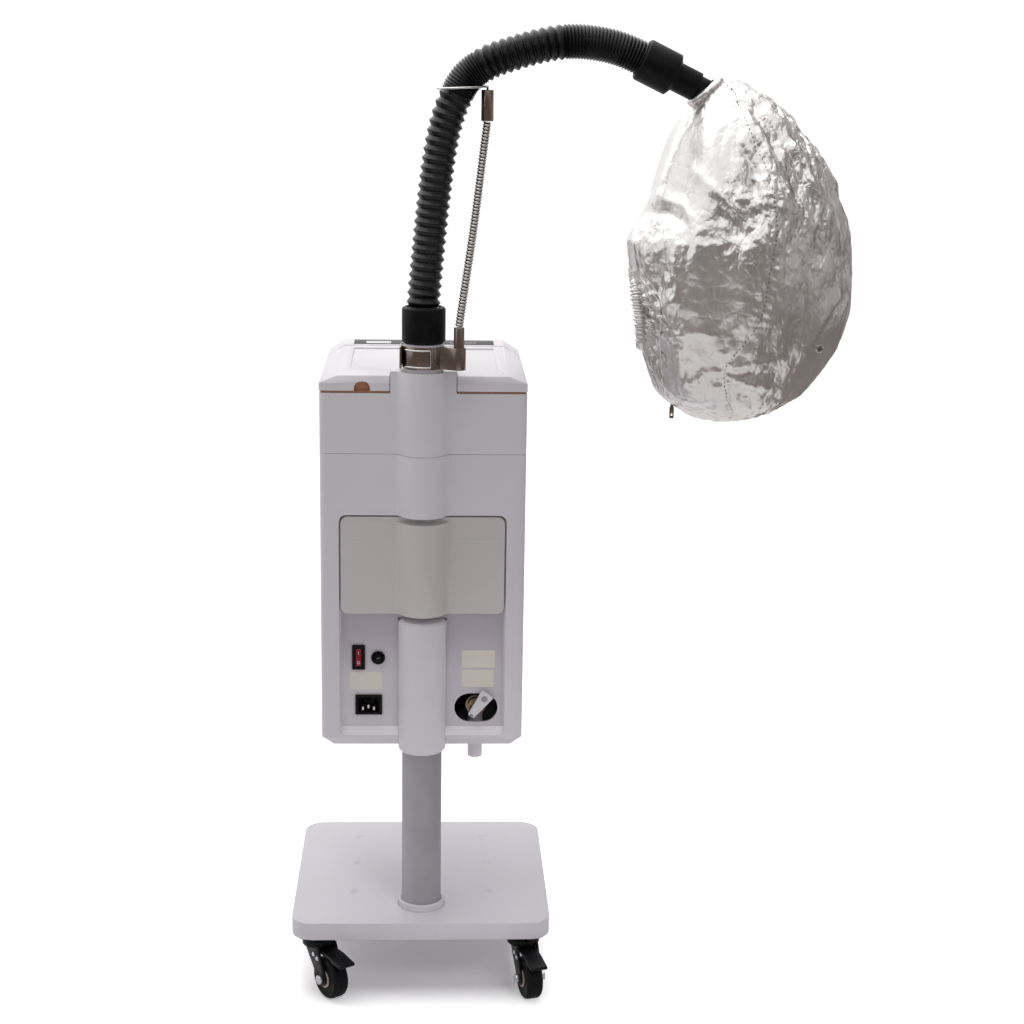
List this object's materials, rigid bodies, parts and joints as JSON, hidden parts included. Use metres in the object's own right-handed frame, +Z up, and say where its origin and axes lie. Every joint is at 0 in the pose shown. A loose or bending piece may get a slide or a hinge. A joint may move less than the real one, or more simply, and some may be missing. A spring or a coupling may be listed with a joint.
{
  "type": "hair steamer",
  "caption": "Hair steamer: white steam cabinet with a rear water tank on a pole stand with casters, a ribbed hose on a gooseneck arm and a silver foil-fabric hood.",
  "frame": {"origin": "on the floor, on the pole's axis", "axes": "+Z up, -Y towards the rear of the cabinet (tank, switch and inlet), +X towards the hood"},
  "size_m": [0.621, 0.3523, 1.1067],
  "materials": {
    "white_plastic": "satin",
    "tank_plastic": "translucent, satin",
    "black_plastic": "matte",
    "black_rubber": "matte",
    "wheel_rubber": "satin",
    "zinc_steel": "zinc plated",
    "pole_steel": "silver, satin",
    "dark_nickel": "dark nickel",
    "brass": "plain",
    "stainless_steel": "polished",
    "seal_silicone": "matte",
    "red_rocker": "gloss",
    "foil_fabric": "metallised, crinkled",
    "panel_glass": "gloss",
    "circuit_board": "matte"
  },
  "bodies": {
    "cabinet": {"base_plate": "white_plastic", "pole": "pole_steel", "pole_collar": "white_plastic", "caster_plate_rear_left": "zinc_steel", "caster_plate_rear_right": "zinc_steel", "caster_plate_front_left": "zinc_steel", "caster_plate_front_right": "zinc_steel", "main_housing": "white_plastic", "bottom_cover": "white_plastic", "pole_sleeve": "white_plastic", "upper_housing": "white_plastic", "control_housing": "white_plastic", "control_panel": "panel_glass", "control_board": "circuit_board", "lid_seal": "seal_silicone", "lid_hinge_pin": "stainless_steel", "tank_shelf": "zinc_steel", "power_switch": "black_plastic", "fuse_holder": "black_plastic", "mains_inlet": "black_plastic", "drain_valve": "brass", "drain_spout": "white_plastic", "boiler": "stainless_steel", "band_heater": "stainless_steel", "steam_pipe": "stainless_steel", "steam_outlet": "black_rubber"},
    "caster_rear_left": {"caster_fork_rear_left": "black_plastic", "caster_axle_rear_left": "zinc_steel"},
    "caster_rear_right": {"caster_fork_rear_right": "black_plastic", "caster_axle_rear_right": "zinc_steel"},
    "caster_front_left": {"caster_fork_front_left": "black_plastic", "caster_axle_front_left": "zinc_steel"},
    "caster_front_right": {"caster_fork_front_right": "black_plastic", "caster_axle_front_right": "zinc_steel"},
    "wheel_rear_left": {"caster_wheel_rear_left": "wheel_rubber"},
    "wheel_rear_right": {"caster_wheel_rear_right": "wheel_rubber"},
    "wheel_front_left": {"caster_wheel_front_left": "wheel_rubber"},
    "wheel_front_right": {"caster_wheel_front_right": "wheel_rubber"},
    "brake_rear_left": {"brake_pedal_rear_left": "black_plastic"},
    "brake_rear_right": {"brake_pedal_rear_right": "black_plastic"},
    "lid": {"lid": "white_plastic"},
    "tank": {"water_tank": "tank_plastic"},
    "rocker": {"switch_rocker": "red_rocker"},
    "drain_handle": {"drain_lever": "white_plastic"},
    "fuse_plug": {"fuse_cap": "black_plastic"},
    "arm": {"clamp_band": "dark_nickel", "lower_ferrule": "dark_nickel", "gooseneck": "stainless_steel", "upper_ferrule": "dark_nickel", "hose_loop": "stainless_steel", "hose_lower_cuff": "black_rubber", "hose": "black_rubber", "hose_upper_cuff": "black_rubber"},
    "latch": {"latch_lever": "dark_nickel"},
    "bail": {"latch_bail": "dark_nickel"},
    "hood": {"hood_inlet": "black_plastic", "hood_shell": "foil_fabric", "hood_rim": "foil_fabric", "hood_snap": "stainless_steel"},
    "zip": {"zip_pull": "dark_nickel"}
  },
  "joints": [
    {"name": "swivel_rear_left", "type": "hinge", "parent": "cabinet", "child": "caster_rear_left", "pos_m": [-0.12, -0.026, 0.0655], "axis": [0, 0, 1], "continuous": true},
    {"name": "roll_rear_left", "type": "hinge", "parent": "caster_rear_left", "child": "wheel_rear_left", "pos_m": [-0.10451, -0.04812, 0.025], "axis": [0.8192, 0.5736, 0], "continuous": true},
    {"name": "brake_press_rear_left", "type": "hinge", "parent": "caster_rear_left", "child": "brake_rear_left", "pos_m": [-0.12, -0.026, 0.05505], "axis": [0.8192, 0.5736, 0], "range_deg": [0, 5]},
    {"name": "swivel_rear_right", "type": "hinge", "parent": "cabinet", "child": "caster_rear_right", "pos_m": [0.12, -0.026, 0.0655], "axis": [0, 0, 1], "continuous": true},
    {"name": "roll_rear_right", "type": "hinge", "parent": "caster_rear_right", "child": "wheel_rear_right", "pos_m": [0.12699, -0.05208, 0.025], "axis": [0.9659, 0.2588, 0], "continuous": true},
    {"name": "brake_press_rear_right", "type": "hinge", "parent": "caster_rear_right", "child": "brake_rear_right", "pos_m": [0.12, -0.026, 0.05505], "axis": [0.9659, 0.2588, 0], "range_deg": [0, 5]},
    {"name": "swivel_front_left", "type": "hinge", "parent": "cabinet", "child": "caster_front_left", "pos_m": [-0.12, 0.214, 0.0655], "axis": [0, 0, 1], "continuous": true},
    {"name": "roll_front_left", "type": "hinge", "parent": "caster_front_left", "child": "wheel_front_left", "pos_m": [-0.10859, 0.18953, 0.025], "axis": [0.9063, 0.4226, 0], "continuous": true},
    {"name": "swivel_front_right", "type": "hinge", "parent": "cabinet", "child": "caster_front_right", "pos_m": [0.12, 0.214, 0.0655], "axis": [0, 0, 1], "continuous": true},
    {"name": "roll_front_right", "type": "hinge", "parent": "caster_front_right", "child": "wheel_front_right", "pos_m": [0.11531, 0.18741, 0.025], "axis": [0.9848, -0.1736, 0], "continuous": true},
    {"name": "lid_open", "type": "hinge", "parent": "cabinet", "child": "lid", "pos_m": [0, 0.1795, 0.7283], "axis": [-1, 0, 0], "range_deg": [0, 75]},
    {"name": "tank_slide", "type": "slide", "parent": "cabinet", "child": "tank", "axis": [0, -1, 0], "range_m": [0, 0.1]},
    {"name": "rocker_tilt", "type": "hinge", "parent": "cabinet", "child": "rocker", "pos_m": [-0.0729, 0.00045, 0.399], "axis": [1, 0, 0], "range_deg": [0, 18]},
    {"name": "drain_turn", "type": "hinge", "parent": "cabinet", "child": "drain_handle", "pos_m": [0.0622, -0.004, 0.338], "axis": [0, -1, 0], "range_deg": [0, 90]},
    {"name": "fuse_turn", "type": "hinge", "parent": "cabinet", "child": "fuse_plug", "pos_m": [-0.0506, 0.0012, 0.3985], "axis": [0, -1, 0], "range_deg": [0, 90]},
    {"name": "arm_swivel", "type": "hinge", "parent": "cabinet", "child": "arm", "pos_m": [0, 0, 0.7358], "axis": [0, 0, 1], "range_deg": [-180, 35]},
    {"name": "latch_open", "type": "hinge", "parent": "arm", "child": "latch", "pos_m": [-0.02525, 0.013, 0.7358], "axis": [0, 0, -1], "range_deg": [0, 100]},
    {"name": "bail_swing", "type": "hinge", "parent": "latch", "child": "bail", "pos_m": [-0.02064, -0.0148, 0.7388], "axis": [0, 0, -1], "range_deg": [0, 40]},
    {"name": "hood_turn", "type": "hinge", "parent": "arm", "child": "hood", "pos_m": [0.29215, 0, 1.04233], "axis": [0.9026, 0, -0.4305], "range_deg": [-45, 45]},
    {"name": "zip_flap", "type": "hinge", "parent": "hood", "child": "zip", "pos_m": [0.27717, 0, 0.69404], "axis": [0, 1, 0], "range_deg": [-10, 40]}
  ]
}
